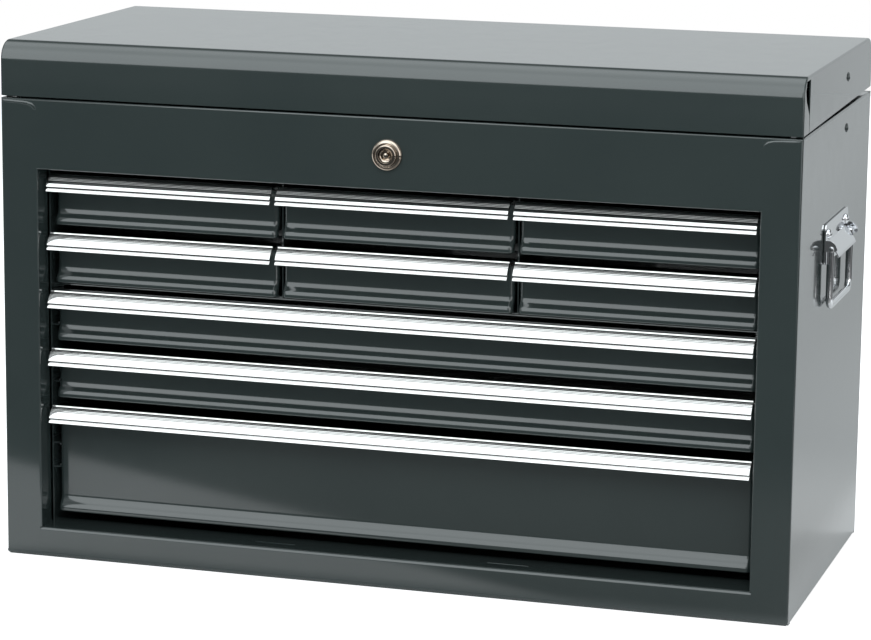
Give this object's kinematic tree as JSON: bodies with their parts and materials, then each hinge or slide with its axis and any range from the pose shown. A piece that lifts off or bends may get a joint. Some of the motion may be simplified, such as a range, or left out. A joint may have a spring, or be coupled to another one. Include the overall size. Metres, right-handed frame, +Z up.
{
  "type": "machinist tool chest",
  "caption": "Steel machinist tool chest: hinged lid over a till, split and full-width drawers with aluminium pulls, a cam lock and side handles.",
  "frame": {"origin": "centre of the footprint, on the surface that the chest stands on", "axes": "+X to the right seen from the front, +Y from the front to the back, +Z up"},
  "size_m": [0.683, 0.3134, 0.429],
  "materials": {
    "painted_steel": "glossy dark green-grey enamel",
    "aluminium_trim": "satin extruded, fine lengthwise grain",
    "chrome": "bright plated",
    "zinc_steel": "zinc plated"
  },
  "bodies": {
    "root": {"front_frame": "painted_steel", "bottom_rail": "painted_steel", "bottom_panel": "painted_steel", "back_panel": "painted_steel", "till_floor": "painted_steel", "mid_shelf": "painted_steel", "hinge_body_leaf": "zinc_steel", "hinge_pin": "zinc_steel", "lock_housing": "chrome", "lock_nut": "zinc_steel", "side_panel_left": "painted_steel", "side_panel_right": "painted_steel", "inner_side_left": "painted_steel", "inner_side_right": "painted_steel", "divider_left": "painted_steel", "divider_right": "painted_steel", "stay_body_rivet_left": "zinc_steel", "stay_body_rivet_right": "zinc_steel", "handle_plate_left": "chrome", "handle_plate_right": "chrome"},
    "lid": {"lid_skin": "painted_steel", "lid_striker": "zinc_steel", "hinge_lid_leaf": "zinc_steel", "lid_end_left": "painted_steel", "lid_end_right": "painted_steel", "stay_lid_rivet_left": "zinc_steel", "stay_lid_rivet_right": "zinc_steel"},
    "lock_core": {"lock_plug": "chrome", "lock_cam": "zinc_steel"},
    "stay_lower_left": {"stay_lower_left": "zinc_steel"},
    "stay_upper_left": {"stay_upper_left": "zinc_steel"},
    "bail_left": {"handle_bail_left": "chrome"},
    "stay_lower_right": {"stay_lower_right": "zinc_steel"},
    "stay_upper_right": {"stay_upper_right": "zinc_steel"},
    "bail_right": {"handle_bail_right": "chrome"},
    "drawer_row_1_left": {"drawer_row_1_left": "painted_steel", "pull_trim_row_1_left": "aluminium_trim"},
    "drawer_row_1_middle": {"drawer_row_1_middle": "painted_steel", "pull_trim_row_1_middle": "aluminium_trim"},
    "drawer_row_1_right": {"drawer_row_1_right": "painted_steel", "pull_trim_row_1_right": "aluminium_trim"},
    "drawer_row_2_left": {"drawer_row_2_left": "painted_steel", "pull_trim_row_2_left": "aluminium_trim"},
    "drawer_row_2_middle": {"drawer_row_2_middle": "painted_steel", "pull_trim_row_2_middle": "aluminium_trim"},
    "drawer_row_2_right": {"drawer_row_2_right": "painted_steel", "pull_trim_row_2_right": "aluminium_trim"},
    "drawer_row_3": {"drawer_row_3": "painted_steel", "pull_trim_row_3": "aluminium_trim", "slide_member_row_3_left": "zinc_steel", "slide_member_row_3_right": "zinc_steel"},
    "drawer_row_4": {"drawer_row_4": "painted_steel", "pull_trim_row_4": "aluminium_trim", "slide_member_row_4_left": "zinc_steel", "slide_member_row_4_right": "zinc_steel"},
    "drawer_row_5": {"drawer_row_5": "painted_steel", "pull_trim_row_5": "aluminium_trim", "slide_member_row_5_left": "zinc_steel", "slide_member_row_5_right": "zinc_steel"}
  },
  "joints": [
    {"name": "lid_hinge", "type": "hinge", "parent": "root", "child": "lid", "pos_m": [0, 0.154, 0.384], "axis": [-1, 0, 0], "range_deg": [0, 90]},
    {"name": "lock_turn", "type": "hinge", "parent": "root", "child": "lock_core", "pos_m": [0, -0.138, 0.3534], "axis": [0, 1, 0], "range_deg": [0, 90]},
    {"name": "stay_lower_left_pivot", "type": "hinge", "parent": "root", "child": "stay_lower_left", "pos_m": [-0.3214, 0.039, 0.3665], "axis": [-1, 0, 0], "range_deg": [0, 92.58]},
    {"name": "stay_elbow_left", "type": "hinge", "parent": "stay_lower_left", "child": "stay_upper_left", "pos_m": [-0.3193, -0.07411, 0.38725], "axis": [1, 0, 0], "range_deg": [0, 92.43]},
    {"name": "bail_left_swing", "type": "hinge", "parent": "root", "child": "bail_left", "pos_m": [-0.3365, 0, 0.2815], "axis": [0, 1, 0], "range_deg": [0, 90]},
    {"name": "stay_lower_right_pivot", "type": "hinge", "parent": "root", "child": "stay_lower_right", "pos_m": [0.3214, 0.039, 0.3665], "axis": [-1, 0, 0], "range_deg": [0, 92.58]},
    {"name": "stay_elbow_right", "type": "hinge", "parent": "stay_lower_right", "child": "stay_upper_right", "pos_m": [0.3193, -0.07411, 0.38725], "axis": [1, 0, 0], "range_deg": [0, 92.43]},
    {"name": "bail_right_swing", "type": "hinge", "parent": "root", "child": "bail_right", "pos_m": [0.3365, 0, 0.2815], "axis": [0, -1, 0], "range_deg": [0, 90]},
    {"name": "drawer_row_1_left_slide", "type": "slide", "parent": "root", "child": "drawer_row_1_left", "axis": [0, -1, 0], "range_m": [0, 0.2]},
    {"name": "drawer_row_1_middle_slide", "type": "slide", "parent": "root", "child": "drawer_row_1_middle", "axis": [0, -1, 0], "range_m": [0, 0.2]},
    {"name": "drawer_row_1_right_slide", "type": "slide", "parent": "root", "child": "drawer_row_1_right", "axis": [0, -1, 0], "range_m": [0, 0.2]},
    {"name": "drawer_row_2_left_slide", "type": "slide", "parent": "root", "child": "drawer_row_2_left", "axis": [0, -1, 0], "range_m": [0, 0.2]},
    {"name": "drawer_row_2_middle_slide", "type": "slide", "parent": "root", "child": "drawer_row_2_middle", "axis": [0, -1, 0], "range_m": [0, 0.2]},
    {"name": "drawer_row_2_right_slide", "type": "slide", "parent": "root", "child": "drawer_row_2_right", "axis": [0, -1, 0], "range_m": [0, 0.2]},
    {"name": "drawer_row_3_slide", "type": "slide", "parent": "root", "child": "drawer_row_3", "axis": [0, -1, 0], "range_m": [0, 0.2]},
    {"name": "drawer_row_4_slide", "type": "slide", "parent": "root", "child": "drawer_row_4", "axis": [0, -1, 0], "range_m": [0, 0.2]},
    {"name": "drawer_row_5_slide", "type": "slide", "parent": "root", "child": "drawer_row_5", "axis": [0, -1, 0], "range_m": [0, 0.2]}
  ],
  "couplings": [
    {"joint": "stay_lower_left_pivot", "follows": "lid_hinge", "ratio": 1.0287},
    {"joint": "stay_elbow_left", "follows": "lid_hinge", "ratio": 1.027},
    {"joint": "stay_lower_right_pivot", "follows": "lid_hinge", "ratio": 1.0287},
    {"joint": "stay_elbow_right", "follows": "lid_hinge", "ratio": 1.027}
  ]
}
